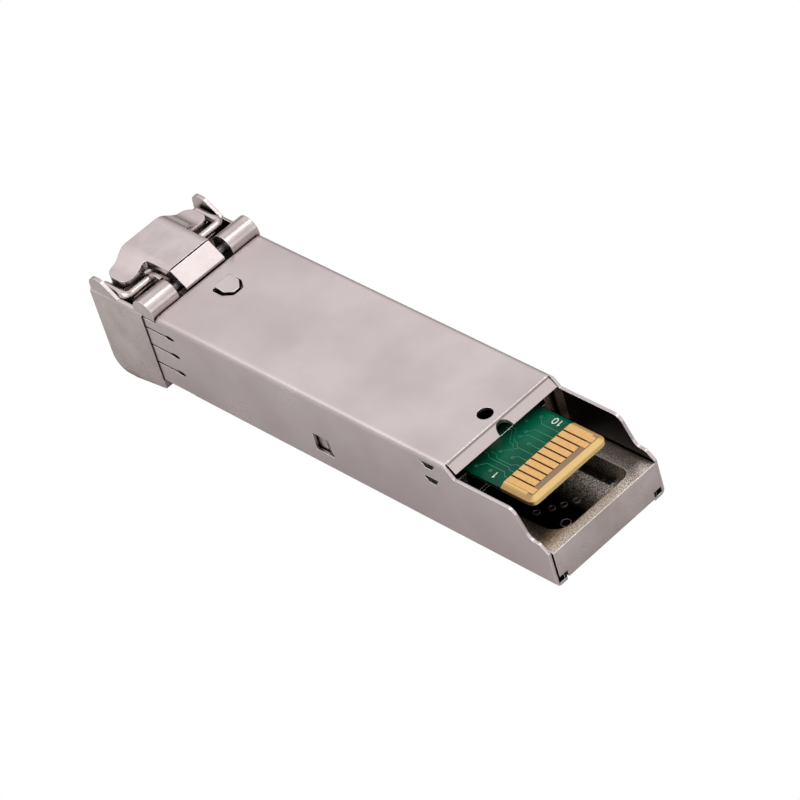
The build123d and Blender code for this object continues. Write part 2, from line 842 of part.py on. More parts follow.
# Circuit board with a narrow card edge at the rear
with BuildPart() as circuit_board:
    with BuildSketch(Plane.XY.offset(up(board_under))):
        with BuildLine():
            Polyline(
                (at(board_tip), board_edge_width / 2),
                (at(board_shoulder), board_edge_width / 2),
                (at(board_shoulder), board_half),
                (at(board_front), board_half),
                (at(board_front), -board_half),
                (at(board_shoulder), -board_half),
                (at(board_shoulder), -board_edge_width / 2),
                (at(board_tip), -board_edge_width / 2),
                close=True,
            )
        make_face()
        fillet(vertices().group_by(Axis.X)[-1], radius=board_tip_round)
    extrude(amount=board_thickness)
    tip_edges = circuit_board.faces().sort_by(Axis.X)[-1].edges().filter_by(Axis.Y)
    chamfer(tip_edges, length=board_bevel, length2=board_bevel_run,
            reference=circuit_board.faces().sort_by(Axis.X)[-1])
save(circuit_board, "circuit_board")


def contact_places(long_ones, height):
    """Length and centre of each edge contact."""
    places = []
    for index in range(contact_count):
        end = contact_long_end if index in long_ones else contact_short_end
        y = (index - (contact_count - 1) / 2) * contact_pitch
        places.append((contact_front - end, ((at(contact_front) + at(end)) / 2, y, height)))
    return places


# Gold contacts on both faces of the card edge
with BuildPart() as contacts_top:
    for length, place in contact_places(long_contacts_top, up(board_top)):
        with Locations(place):
            Box(length, contact_width, contact_thickness, align=(Align.CENTER, Align.CENTER, Align.MIN))
save(contacts_top, "contacts_top")

with BuildPart() as contacts_bottom:
    for length, place in contact_places(long_contacts_bottom, up(board_under)):
        with Locations(place):
            Box(length, contact_width, contact_thickness, align=(Align.CENTER, Align.CENTER, Align.MAX))
save(contacts_bottom, "contacts_bottom")


# Optical subassemblies, transmitter on the left and receiver on the right
for name, side in (("transmitter", -1), ("receiver", 1)):
    y = side * port_offset
    axis = Plane(origin=(0, y, up(port_centre)), x_dir=(1, 0, 0), z_dir=(0, -1, 0))

    with BuildPart() as receptacle:
        with BuildSketch(axis):
            with BuildLine():
                Polyline(
                    (at(nozzle_tip), sleeve_outer / 2 - nozzle_lip),
                    (at(nozzle_tip), nozzle_diameter / 2),
                    (at(port_back), nozzle_diameter / 2),
                    (at(port_back), barrel_diameter / 2),
                    (at(block_rear), barrel_diameter / 2),
                    (at(block_rear), flange_diameter / 2),
                    (at(flange_rear), flange_diameter / 2),
                    (at(flange_rear), ferrule_diameter / 2),
                    (at(sleeve_back), ferrule_diameter / 2),
                    (at(sleeve_back), sleeve_outer / 2),
                    (at(nozzle_tip - nozzle_lip_length), sleeve_outer / 2),
                    (at(nozzle_tip - nozzle_lip_length), sleeve_outer / 2 - nozzle_lip),
                    close=True,
                )
            make_face()
        revolve(axis=Axis((0, y, up(port_centre)), (1, 0, 0)))
    save(receptacle, f"{name}_receptacle")

    with BuildPart() as sleeve:
        with BuildSketch(Plane.YZ.offset(at(sleeve_back + sleeve_length))):
            with Locations((y, up(port_centre))):
                Circle(sleeve_outer / 2)
                Circle(ferrule_diameter / 2, mode=Mode.SUBTRACT)
            with Locations((y, up(port_centre + sleeve_outer / 2))):
                Rectangle(sleeve_slit, 2 * (sleeve_outer - ferrule_diameter), mode=Mode.SUBTRACT)
        extrude(amount=sleeve_length)
        with Locations(Location((at(stub_front), y, up(port_centre)), (0, -90, 0))):
            Cylinder(ferrule_diameter / 2 + ferrule_fit, sleeve_length,
                     align=(Align.CENTER, Align.CENTER, Align.MIN), mode=Mode.SUBTRACT)
    save(sleeve, f"{name}_sleeve")

    with BuildPart() as stub:
        with Locations(Location((at(flange_rear + stub_recess), y, up(port_centre)), (0, -90, 0))):
            Cylinder(ferrule_diameter / 2, stub_front - flange_rear - stub_recess,
                     align=(Align.CENTER, Align.CENTER, Align.MIN))
        chamfer(stub.edges().filter_by(GeomType.CIRCLE).sort_by(Axis.X)[0], length=stub_chamfer)
    save(stub, f"{name}_fibre_stub")

    with BuildPart() as can:
        with Locations(Location((at(flange_rear), y, up(port_centre)), (0, 90, 0))):
            Cylinder(can_diameter / 2, can_length, align=(Align.CENTER, Align.CENTER, Align.MIN))
        with Locations(Location((at(can_rear), y, up(port_centre)), (0, 90, 0))):
            Cylinder(header_diameter / 2, header_length, align=(Align.CENTER, Align.CENTER, Align.MIN))
        with Locations(Location((at(header_rear), y, up(port_centre)), (0, 90, 0))):
            with PolarLocations(can_pin_spread / 2, 4, start_angle=45):
                Box(can_pin_size, can_pin_size, can_pin_length,
                    align=(Align.CENTER, Align.CENTER, Align.MIN))
    save(can, f"{name}_can")

    # Flex strip from the can's pins up and along the underside of the board
    flex_front = header_rear - can_pin_length
    flex_rear = flex_front - flex_thickness
    with BuildPart() as flex:
        with BuildSketch(Plane.XZ.offset(-y)):
            with BuildLine():
                Polyline(
                    (at(flex_front), up(port_centre - flex_drop)),
                    (at(flex_front), up(board_under)),
                    (at(flex_end), up(board_under)),
                    (at(flex_end), up(board_under - flex_thickness)),
                    (at(flex_rear), up(board_under - flex_thickness)),
                    (at(flex_rear), up(port_centre - flex_drop)),
                    close=True,
                )
            make_face()
            fillet(vertices().sort_by_distance((at(flex_front), up(board_under)))[0],
                   radius=flex_bend + flex_thickness)
            fillet(vertices().sort_by_distance((at(flex_rear), up(board_under - flex_thickness)))[0],
                   radius=flex_bend)
        extrude(amount=flex_width / 2, both=True)
    save(flex, f"{name}_flex")


# Moulded clamp that holds both optical subassemblies against the casting
with BuildPart() as optics_clamp:
    clamp_rear = flange_rear - clamp_length
    block(clamp_rear, flange_rear, -optics_half + clamp_fit, optics_half - clamp_fit,
          optics_floor, port_centre)
    block(clamp_rear, flange_rear, -clamp_rib_half, clamp_rib_half, optics_floor, tray_top - clamp_rib_gap)
    for side in (-1, 1):
        with Locations(Location((at(flange_rear), side * port_offset, up(port_centre)), (0, 90, 0))):
            Cylinder(can_diameter / 2 + clamp_fit, 3 * clamp_length, mode=Mode.SUBTRACT)
save(optics_clamp, "optics_clamp")


def chip(d, y, length, width, height, top_side):
    """One packaged component on the board's upper or lower face."""
    base = up(board_top) if top_side else up(board_under)
    seat = Align.MIN if top_side else Align.MAX
    with Locations((at(d), y, base)):
        Box(length, width, height, align=(Align.CENTER, Align.CENTER, seat))


chip_row = overall_length - chip_setback
first_row = chip_row - row_gap
with BuildPart() as driver_chip:
    driver_offset = board_half - driver_edge_gap - driver_size / 2
    chip(chip_row, -driver_offset, driver_size, driver_size, chip_height, True)
save(driver_chip, "driver_chip")

with BuildPart() as amplifier_chip:
    chip(chip_row, port_offset, amplifier_size, amplifier_size, chip_height, True)
save(amplifier_chip, "amplifier_chip")

with BuildPart() as controller_chip:
    chip(controller_station, 0, controller_size, controller_size, controller_height, False)
save(controller_chip, "controller_chip")

with BuildPart() as thermal_pad:
    block(controller_station - controller_size / 2, controller_station + controller_size / 2,
          -controller_size / 2, controller_size / 2, pad_island, board_under - controller_height)
save(thermal_pad, "thermal_pad")

with BuildPart() as capacitors:
    for row in range(capacitor_row_count):
        for y in (-capacitor_outer_offset, -capacitor_offset, capacitor_offset, capacitor_outer_offset):
            chip(first_row - row_stagger - row * row_pitch, y, part_length, part_width, capacitor_height,
                 True)
save(capacitors, "capacitors")

with BuildPart() as resistors:
    for row in range(resistor_row_count):
        for y in (-resistor_offset, resistor_offset):
            chip(first_row - row * row_pitch, y, part_length, part_width, resistor_height, True)
save(resistors, "resistors")

with BuildPart() as power_inductors:
    for y in (-inductor_pitch, 0, inductor_pitch):
        chip(overall_length - inductor_setback, y, inductor_length, inductor_width, inductor_height, True)
save(power_inductors, "power_inductors")
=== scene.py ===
# %% [markdown]
# # Pluggable optical module with a bail latch
#
# The real module is a plated zinc casting that holds a circuit board and two small optical parts, with
# a bent sheet cover over it and a wire bail that works the latch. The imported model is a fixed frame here:
# its solids keep their shapes. This script gives them their metals, laminate, gold, plastic and ceramic,
# adds the tracks and print of the board and small marks of the casting, and lights the module as for a
# product picture. All lengths are metres unless a name ends in mm.

import math

import bpy
from mathutils import Matrix, Vector


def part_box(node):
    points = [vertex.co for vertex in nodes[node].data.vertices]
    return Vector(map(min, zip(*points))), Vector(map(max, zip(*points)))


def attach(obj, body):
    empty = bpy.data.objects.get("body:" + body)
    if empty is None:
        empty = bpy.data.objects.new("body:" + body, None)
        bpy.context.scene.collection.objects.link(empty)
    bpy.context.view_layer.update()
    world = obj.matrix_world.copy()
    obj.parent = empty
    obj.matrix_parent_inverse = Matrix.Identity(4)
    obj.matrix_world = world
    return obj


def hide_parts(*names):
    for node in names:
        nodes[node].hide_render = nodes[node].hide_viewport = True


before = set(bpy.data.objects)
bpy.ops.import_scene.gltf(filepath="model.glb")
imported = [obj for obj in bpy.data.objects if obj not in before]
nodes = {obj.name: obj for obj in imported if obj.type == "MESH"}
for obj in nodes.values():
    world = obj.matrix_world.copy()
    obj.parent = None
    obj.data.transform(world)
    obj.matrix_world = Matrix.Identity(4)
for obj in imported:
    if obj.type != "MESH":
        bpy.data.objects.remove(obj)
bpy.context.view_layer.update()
MM = 0.001

# %% [markdown]
# ## Places and colours
#
# A module is drawn with its sizes counted from two faces: how far ahead of the rear end, and how high
# above the underside of the body. Two small functions keep that habit, so that every number below can be
# held against the real thing with a caliper. Colours are written as the sRGB hex values a paint program
# shows, and `srgb` turns them into the linear values that shaders reckon with.

# %% Stations, heights and hex colours
LENGTH_MM = 57.1
NOSE_DROP_MM = 1.2


def at(d):
    return (LENGTH_MM / 2 - d) * MM


def up(h):
    return (NOSE_DROP_MM + h) * MM


def srgb(code):
    channels = [int(code[i:i + 2], 16) / 255 for i in (1, 3, 5)]
    return (*[c / 12.92 if c <= 0.04045 else ((c + 0.055) / 1.055) ** 2.4 for c in channels], 1.0)


print("front face at x =", round(at(LENGTH_MM), 5), "and body underside at z =", round(up(0), 5))

# %% [markdown]
# ## Adding a shader node
#
# A finish is a chain of nodes, and each node needs the same four steps: add it, choose its settings, fill
# its inputs, and pass on one of its outputs. One function does all four. Inputs come by name, by number,
# or in order, and an input is linked where it is given another node's output. The nodes are set out in
# rows of eight, so that the chain can be followed in the shader editor.

# %% The node function and an empty material
ROW = 8


def node(tree, kind, inputs=(), give=0, **settings):
    made = tree.nodes.new("ShaderNode" + kind)
    made.location = (len(tree.nodes) % ROW * 220, -(len(tree.nodes) // ROW) * 340)
    for name, value in settings.items():
        setattr(made, name, value)
    for socket, value in inputs.items() if isinstance(inputs, dict) else enumerate(inputs):
        if isinstance(value, bpy.types.NodeSocket):
            tree.links.new(value, made.inputs[socket])
        else:
            made.inputs[socket].default_value = value
    return made if give is None else made.outputs[give]


def new_material(name):
    material = bpy.data.materials.new(name)
    material.use_nodes = True
    tree = material.node_tree
    tree.nodes.clear()
    shader = node(tree, "BsdfPrincipled", give=None)
    node(tree, "OutputMaterial", {"Surface": shader.outputs["BSDF"]}, give=None)
    return material, tree, shader


print("node function ready")

# %% [markdown]
# ## Stencils
#
# Some colour belongs to a place, such as the painted shade on the lip of a bent sheet or in a slot. A
# painter would mask such a place off. A stencil does that here, with a number for each point of the
# surface, 1 inside and 0 outside.
# It could be painted by hand on an unwrapped surface, but a stencil made from lengths needs no unwrapping,
# and it stays with the object from every side. Each bound says where the stencil is 0 and where it is 1,
# and the bounds are multiplied together.

# %% Stencils from lengths
SOFT = 0.03 * MM


def places(tree):
    """Sockets for the point on the object, its x, its y, its z, and its distance from the middle plane."""
    point = node(tree, "TexCoord", give="Object")
    x, y, z = node(tree, "SeparateXYZ", [point], give=None).outputs
    return point, x, y, z, node(tree, "Math", [y], operation="ABSOLUTE")


def span(value, low, high, soft=SOFT):
    """The two bounds of a stretch from low to high."""
    return (value, low - soft, low + soft), (value, high + soft, high - soft)


def stencil(tree, *bounds, on=None):
    """1 where each bound (value, where it is 0, where it is 1) holds, and inside the stencil `on`."""
    for value, nought, full in bounds:
        edge = node(tree, "MapRange", (value, nought, full))
        on = edge if on is None else node(tree, "Math", (on, edge), operation="MULTIPLY")
    return on


print("soft edge of a stencil:", round(2 * SOFT / MM, 2), "mm")

# %% [markdown]
# ## Edges and recesses
#
# Nothing made of metal has an edge without a radius, and the highlight on that radius is what tells the
# eye that a part is solid. It could be modelled, but the frame keeps its shapes, so a Bevel node turns the
# normals near an edge instead. A painted highlight, near white, is also laid on the colour along sharp
# edges, and a painted shade darkens the colour in narrow recesses, where walls shut the light out.

# %% Rounded edges, painted highlights and painted shade
BEVEL_SAMPLES = 6
RECESS_SAMPLES = 8


def bevelled_bump(tree, height, strength, depth_mm, radius):
    """The normal of a rough surface with rounded edges. The radius is in metres, or a socket."""
    edge = node(tree, "Bevel", {"Radius": radius}, samples=BEVEL_SAMPLES)
    return node(tree, "Bump", {"Height": height, "Strength": strength, "Distance": depth_mm * MM, "Normal": edge})


def painted_recess_shade(tree, colour, reach_mm, darkest):
    # Painted shade: the colour is darkened towards near black where ambient occlusion finds walls close by.
    shut = node(tree, "AmbientOcclusion", {"Distance": reach_mm * MM}, give="AO", samples=RECESS_SAMPLES)
    keep = node(tree, "MapRange", (shut, 0.25, 0.8, darkest, 1.0))
    return node(tree, "Mix", {0: keep, 6: srgb("#14100F"), 7: colour}, give=2, data_type="RGBA")


def painted_edge_highlight(tree, colour, radius_mm):
    """A painted highlight: near white where the rounded normal turns away from the flat one, which is only near an
    edge.
    """
    # Painted highlight: the colour is mixed towards near white along edges.
    turned = node(tree, "Bevel", {"Radius": radius_mm * MM}, samples=BEVEL_SAMPLES)
    flat = node(tree, "NewGeometry", give="Normal")
    alike = node(tree, "VectorMath", (turned, flat), give="Value", operation="DOT_PRODUCT")
    highlight_near_edge = stencil(tree, (alike, 0.99, 0.9))
    return node(tree, "Mix", {0: highlight_near_edge, 6: colour, 7: srgb("#FFFDFA")}, give=2, data_type="RGBA")


print("bevel samples:", BEVEL_SAMPLES)

# %% [markdown]
# ## The cover's own shades
#
# The cover is one blank, cut and bent up. Its two long bends are wider than its cut edges, so they catch a
# wide soft highlight and the edges a thin one. Its inner faces hardly see light, so they get a painted shade
# of dark grey. Near the rear the roof bends down in a lip, which gets a painted shade a little darker than
# the roof, and its crease a darker painted line of shade. All of these are places, so they are stencils.

# %% Bends, and painted shade on inner faces, lip and crease
INNER_SIDE = 6.42 * MM
LONG_BEND_MM = 0.4


def long_bends(tree, edge_mm):
    """The rounding's radius in metres: wide along the two long bends and narrow elsewhere."""
    _, x, _, z, side = places(tree)
    bend = stencil(tree, (side, 5.8 * MM, 6.0 * MM), (z, up(7.3), up(7.6)), (x, at(11.0), at(11.4)))
    return node(tree, "MapRange", (bend, 0, 1, edge_mm * MM, LONG_BEND_MM * MM))


def cover_painted_shade(tree, colour):
    _, x, _, z, side = places(tree)
    within = stencil(tree, (side, INNER_SIDE + 0.05 * MM, INNER_SIDE - 0.02 * MM))
    inner = stencil(tree, *span(z, up(0.3), up(8.22)), on=within)
    lip = stencil(tree, *span(x, at(11.2), at(10.0)), on=within)
    crease = stencil(tree, *span(x, at(11.22), at(11.1), 2 * SOFT), on=within)
    # Painted shade: dark grey on the inner faces, a little darker than the roof on the lip, darker still in the
    # crease.
    for place, tone in ((inner, "#2B2523"), (lip, "#C4B9B7"), (crease, "#7A6F6D")):
        colour = node(tree, "Mix", {0: place, 6: colour, 7: srgb(tone)}, give=2, data_type="RGBA")
    return colour


print("long bends rounded to", LONG_BEND_MM, "mm")

# %% [markdown]
# ## Nickel-plated sheet and drawn wire
#
# The cover is cold-rolled steel with bright nickel plate: a slightly warm grey mirror, made hazy by the
# steel under it. Rolling leaves faint lines along its length, 0.2 mm apart, and the plating bath leaves
# clouds some 8 mm across. A grain of 0.4 mm, coarser than the real one so that it shows, keeps the
# highlights from looking like plastic. Wire, ground pins and turned barrels have the same build with other
# tones. Metals keep the default IOR, because their colour is their reflection.

# %% Sheet, wire, pin and barrel metals
ROLLING_LINE_MM = 0.2
LINE_STRETCH = 0.02
SHEET_CLOUD_MM = 8.333
SHEET_GRAIN_MM = 0.4


def nickel_sheet(name, tint, shade, rough, edge_mm, cover=False):
    material, tree, shader = new_material(name)
    point = node(tree, "TexCoord", give="Object")
    along = node(tree, "Mapping", {"Vector": point, "Scale": (LINE_STRETCH, 1, 1)})
    lines = node(tree, "TexNoise", {"Vector": along, "Scale": 1 / (ROLLING_LINE_MM * MM), "Detail": 3.0}, give="Fac")
    cloud = node(tree, "TexNoise", {"Vector": point, "Scale": 1 / (SHEET_CLOUD_MM * MM), "Detail": 3.0}, give="Fac")
    grain = node(tree, "TexNoise", {"Vector": point, "Scale": 1 / (SHEET_GRAIN_MM * MM), "Detail": 1.0}, give="Fac")
    colour = node(tree, "Mix", {0: stencil(tree, (cloud, 0.35, 0.65)), 6: srgb(tint), 7: srgb(shade)}, give=2,
                  data_type="RGBA")
    if cover:
        colour = cover_painted_shade(tree, colour)
    # Painted shade darkens recesses, and a painted near-white highlight runs along edges.
    colour = painted_edge_highlight(tree, painted_recess_shade(tree, colour, 0.8, 0.25), 0.07)
    uneven = node(tree, "Math", (lines, 0.3, cloud), operation="MULTIPLY_ADD")
    height = node(tree, "Math", (grain, 0.4, lines), operation="MULTIPLY_ADD")
    radius = long_bends(tree, edge_mm) if cover else edge_mm * MM
    tree.links.new(colour, shader.inputs["Base Color"])
    tree.links.new(node(tree, "MapRange", (uneven, 0.45, 0.85, *rough)), shader.inputs["Roughness"])
    tree.links.new(bevelled_bump(tree, height, 0.006, 0.02, radius), shader.inputs["Normal"])
    shader.inputs["Metallic"].default_value = 1.0
    return material


cover_metal = nickel_sheet("nickel_plated_sheet", "#D4C9CA", "#C8BCBD", (0.26, 0.36), 0.07, cover=True)
wire_metal = nickel_sheet("nickel_plated_wire", "#D6CCCA", "#C4B9B7", (0.14, 0.24), 0.03)
# The pin's dark grey tone is partly painted shade, for the narrow gap it sits in; the spring shares it.
pin_metal_in_painted_shade = nickel_sheet("ground_steel_in_painted_shade", "#6A686A", "#58565A", (0.2, 0.3), 0.03)
barrel_metal = nickel_sheet("turned_stainless_steel", "#BFBFC1", "#ABABAE", (0.18, 0.3), 0.04)
can_metal = nickel_sheet("nickel_plated_header", "#CFC8B8", "#B9B1A0", (0.16, 0.3), 0.04)
print("sheet metals:", len(bpy.data.materials))

# %% [markdown]
# ## Nickel-plated zinc casting
#
# The base and the lever are die-cast zinc under the same plating. A die leaves an orange-peel skin with
# waves of 0.6 mm. Where the die was blasted, at the rear, the skin is sandy: real grit is finer than
# 0.1 mm, and is drawn 0.125 mm across so that it shows. The floor of the rear well gets painted light on
# one side and a painted shade of near black on the other, the slots beside the bail's rod get a painted
# shade of near black, and the outer walls get a painted highlight line under the cover's edge.

# %% The casting's sand, and its painted light and shade
PEEL_MM = 0.625
SAND_MM = 0.125
CAST_CLOUD_MM = 3.333
ROD_SLOT = (5.2 * MM, 6.36 * MM)


def casting_sand_and_painted_light(tree, colour, sand, rear, well):
    """Sandy rear ledge, a well floor with painted light on one side and painted shade on the other, and a painted
    shade of near black in the slots beside the bail's rod.
    """
    _, x, y, z, side = places(tree)
    speck = stencil(tree, (sand, 0.4, 0.62))
    ledge = node(tree, "Mix", {0: speck, 6: srgb("#A0948A"), 7: srgb("#DCD0C6")}, give=2, data_type="RGBA")
    # Painted light and shade on the well floor: sand specks up to near white towards positive y, near black on the
    # other side.
    bright = node(tree, "Mix", {0: speck, 6: srgb("#8A7E76"), 7: srgb("#FFF6EC")}, give=2, data_type="RGBA")
    lit = stencil(tree, (y, 0.0, 2.5 * MM))
    painted_well_floor = node(tree, "Mix", {0: lit, 6: srgb("#191514"), 7: bright}, give=2, data_type="RGBA")
    # Painted shade: near black in the slots beside the bail's rod.
    slot = stencil(tree, *span(side, *ROD_SLOT), *span(z, up(0.5), up(8.3)), *span(x, at(56.9), at(51.4)))
    for place, tone in ((rear, ledge), (well, painted_well_floor), (slot, srgb("#1C1614"))):
        colour = node(tree, "Mix", {0: place, 6: colour, 7: tone}, give=2, data_type="RGBA")
    return colour


print("sand drawn", SAND_MM, "mm across")

# %% [markdown]
# ### Casting and lever
#
# The two share one function, because they come from the same alloy and the same bath. The lever is small
# and gets rubbed smooth, so it is a little lighter and glossier.

# %% Casting and lever metals
def cast_nickel(name, tint, shade, rough, edge_mm=0.09):
    material, tree, shader = new_material(name)
    point, x, _, z, side = places(tree)
    peel = node(tree, "TexNoise", {"Vector": point, "Scale": 1 / (PEEL_MM * MM), "Detail": 2.0}, give="Fac")
    sand = node(tree, "TexNoise", {"Vector": point, "Scale": 1 / (SAND_MM * MM), "Detail": 2.0}, give="Fac")
    cloud = node(tree, "TexNoise", {"Vector": point, "Scale": 1 / (CAST_CLOUD_MM * MM), "Detail": 3.0}, give="Fac")
    rear = stencil(tree, (x, at(13.0), at(12.0)), (z, up(0.3), up(0.6)), (x, at(0.02), at(0.12)),
                   (side, 6.2 * MM, 6.1 * MM))
    well = stencil(tree, (z, up(3.68), up(3.6)), on=rear)
    colour = node(tree, "Mix", {0: stencil(tree, (cloud, 0.35, 0.65)), 6: srgb(tint), 7: srgb(shade)}, give=2,
                  data_type="RGBA")
    # Painted shade darkens recesses.
    colour = painted_recess_shade(tree, casting_sand_and_painted_light(tree, colour, sand, rear, well), 1.2, 0.14)
    # Painted highlight: a near-white line along the outer walls under the cover's edge.
    painted_highlight_line = stencil(tree, (side, 6.36 * MM, 6.4 * MM), *span(x, at(45.0), at(15.0)))
    colour = node(tree, "Mix", {0: painted_highlight_line, 6: colour, 7: srgb("#FFF6F2")}, give=2, data_type="RGBA")
    haze = node(tree, "MapRange", (cloud, 0.3, 0.7, *rough))
    dull = node(tree, "Math", (well, 0.14, haze), operation="MULTIPLY_ADD")
    depth = node(tree, "MapRange", (rear, 0, 1, 0.12, 3.0))
    coarse = node(tree, "Math", (sand, depth), operation="MULTIPLY")
    height = node(tree, "Math", (peel, 0.8, coarse), operation="MULTIPLY_ADD")
    # A painted near-white highlight runs along edges.
    tree.links.new(painted_edge_highlight(tree, colour, 0.05), shader.inputs["Base Color"])
    tree.links.new(dull, shader.inputs["Roughness"])
    tree.links.new(bevelled_bump(tree, height, 0.16, 0.03, edge_mm * MM), shader.inputs["Normal"])
    shader.inputs["Metallic"].default_value = 1.0
    return material


casting_metal = cast_nickel("nickel_plated_zinc_casting", "#D2C7C6", "#C0B4B3", (0.2, 0.34))
lever_metal = cast_nickel("nickel_plated_zinc_lever", "#DACFCF", "#CCC0C0", (0.16, 0.28))
print("metals:", len(bpy.data.materials))

# %% [markdown]
# ## Glass-epoxy laminate
#
# The board is woven glass in epoxy, tan where it was cut or left bare. Towards the card edge the green
# mask stops, 7 mm ahead of the rear end. The mask could be a skin of its own, but it is thinner than a
# hair, so the two colours share one surface: the normal tells a face from a cut edge, and the station
# tells the masked part from the bare one.

# %% Bare laminate
MASK_END = 7.05
CONTACT_END = 4.3
BEVEL_START = 3.7
WEAVE_MM = 0.909
PATCH_MM = 2.857
BOARD_GRAIN_MM = 0.1667


def bare_laminate_with_painted_shade(tree, weave, x, side, turned_sideways):
    """Tan, with painted shade: darker strips beside the contacts, a darker band in front of them, dark brown between
    them, and browner on the long cut edges.
    """
    thread = node(tree, "MapRange", (weave, 0, 1, 0.0, 0.12))
    tan = node(tree, "Mix", {0: thread, 6: srgb("#E0C080"), 7: srgb("#C6A465")}, give=2, data_type="RGBA")
    side_strip_shade = stencil(tree, (side, 4.0 * MM, 4.3 * MM), (x, at(3.3), at(3.7)))
    cut_edge_shade = stencil(tree, (turned_sideways, 0.5, 0.8))
    front_band_shade = stencil(tree, *span(x, at(CONTACT_END), at(BEVEL_START)), (side, 4.4 * MM, 4.0 * MM))
    contact_rows = node(tree, "Math", (side, 3.9 * MM), operation="LESS_THAN")
    between_contacts_shade = stencil(tree, *span(x, at(MASK_END), at(CONTACT_END)), on=contact_rows)
    # Painted shade: each of these four places is darkened where the board lies in shade.
    for place, tone in ((side_strip_shade, "#B8945F"), (cut_edge_shade, "#5E4636"), (front_band_shade, "#8D7660"),
                        (between_contacts_shade, "#3A2818")):
        tan = node(tree, "Mix", {0: place, 6: tan, 7: srgb(tone)}, give=2, data_type="RGBA")
    return tan


print("mask stops", MASK_END, "mm ahead of the rear end")

# %% [markdown]
# ### Board with its mask
#
# The mask is a glossy green lacquer, so it is smoother than the bare laminate. Under the cover it gets a
# painted shade of near black, where little light comes in. Faces that are not level get a painted shade of
# dark green, and recesses a painted shade too.

# %% The board's material
def laminate(name):
    material, tree, shader = new_material(name)
    point, x, _, _, side = places(tree)
    facing = node(tree, "SeparateXYZ", [node(tree, "NewGeometry", give="True Normal")], give=None).outputs
    level = node(tree, "Math", [facing["Z"]], operation="ABSOLUTE")
    sideways = node(tree, "Math", [facing["Y"]], operation="ABSOLUTE")
    weave = node(tree, "TexWave", {"Vector": point, "Scale": 1 / (WEAVE_MM * MM), "Distortion": 1.5}, give="Fac")
    patch = node(tree, "TexNoise", {"Vector": point, "Scale": 1 / (PATCH_MM * MM), "Detail": 1.0}, give="Fac")
    grain = node(tree, "TexNoise", {"Vector": point, "Scale": 1 / (BOARD_GRAIN_MM * MM), "Detail": 4.0}, give="Fac")
    green = node(tree, "Mix", {0: stencil(tree, (patch, 0.4, 0.6)), 6: srgb("#004832"), 7: srgb("#025A41")}, give=2,
                 data_type="RGBA")
    # Painted shade: faces that are not level turn a dark green.
    green = node(tree, "Mix", {0: stencil(tree, (level, 0.4, 0.6)), 6: srgb("#0C231A"), 7: green}, give=2,
                 data_type="RGBA")
    masked = node(tree, "Math", (x, at(MASK_END)), operation="LESS_THAN")
    # Painted shade: near black under the cover.
    under_cover_shade = stencil(tree, (x, at(11.3), at(12.2)))
    colour = bare_laminate_with_painted_shade(tree, weave, x, side, sideways)
    for place, tone in ((masked, green), (under_cover_shade, srgb("#06110D"))):
        colour = node(tree, "Mix", {0: place, 6: colour, 7: tone}, give=2, data_type="RGBA")
    height = node(tree, "Math", (weave, 0.05, grain), operation="MULTIPLY_ADD")
    # Painted shade darkens recesses.
    tree.links.new(painted_recess_shade(tree, colour, 2.0, 0.25), shader.inputs["Base Color"])
    tree.links.new(node(tree, "MapRange", (masked, 0, 1, 0.5, 0.25)), shader.inputs["Roughness"])
    tree.links.new(bevelled_bump(tree, height, 0.05, 0.02, 0.12 * MM), shader.inputs["Normal"])
    shader.inputs["Specular IOR Level"].default_value = 0.12
    return material


board = laminate("glass_epoxy_with_green_mask")
print("board material:", board.name)

# %% [markdown]
# ## Small parts
#
# What is left has one even finish each, such as a moulded plastic, a fired ceramic or a printed ink. They
# all differ from a flat colour in the same way, by specks of two close tones that also change the gloss
# and the height a little. So one function serves, and a table gives each its tones, its gloss and the size
# of its specks.

# %% Even finishes
def even_finish(name, code, other, roughness, metallic=0.0, speck_mm=0.25, bump=0.1, coat=0.0, edge_mm=0.03):
    material, tree, shader = new_material(name)
    point = node(tree, "TexCoord", give="Object")
    speck = node(tree, "TexNoise", {"Vector": point, "Scale": 1 / (speck_mm * MM), "Detail": 5.0}, give="Fac")
    colour = node(tree, "Mix", {0: stencil(tree, (speck, 0.35, 0.65)), 6: srgb(code), 7: srgb(other)}, give=2,
                  data_type="RGBA")
    gloss = node(tree, "MapRange", (speck, 0.3, 0.7, roughness * 0.85, roughness * 1.2))
    tree.links.new(colour, shader.inputs["Base Color"])
    tree.links.new(gloss, shader.inputs["Roughness"])
    tree.links.new(bevelled_bump(tree, speck, bump, 0.02, edge_mm * MM), shader.inputs["Normal"])
    shader.inputs["Metallic"].default_value = metallic
    shader.inputs["Coat Weight"].default_value = coat
    return material


